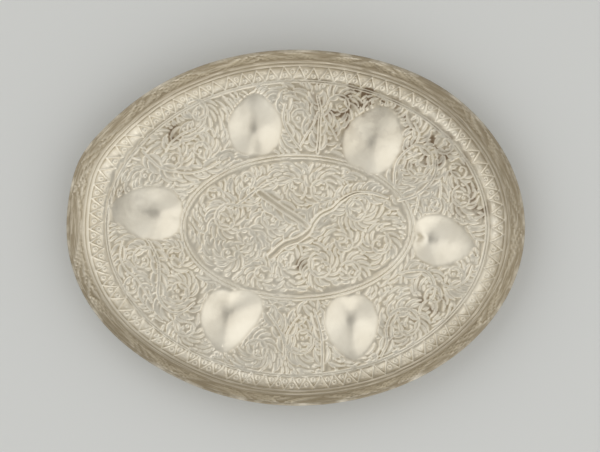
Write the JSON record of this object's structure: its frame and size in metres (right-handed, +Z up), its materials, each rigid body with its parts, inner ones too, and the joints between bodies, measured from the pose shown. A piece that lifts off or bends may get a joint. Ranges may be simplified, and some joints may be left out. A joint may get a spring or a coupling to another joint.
{
  "type": "offering plate",
  "caption": "Shallow oval silver offering plate with chased foliage, heart-shaped wells, a zigzag border and a flaring wall with a wired rim.",
  "frame": {"origin": "centre of the plate's outline, in the plane that the undersides of the wells stand on", "axes": "+X along the plate's length, +Y across its width, +Z up out of its hollow side"},
  "size_m": [0.2, 0.155, 0.0163],
  "materials": {
    "sheet_silver": "hand-raised and chased silver, pale and softly polished on the floor, brown tarnish on the wall",
    "wire_silver": "worn drawn silver wire, soldered"
  },
  "bodies": {
    "root": {"dish": "sheet_silver", "rim_wire": "wire_silver"}
  },
  "joints": []
}
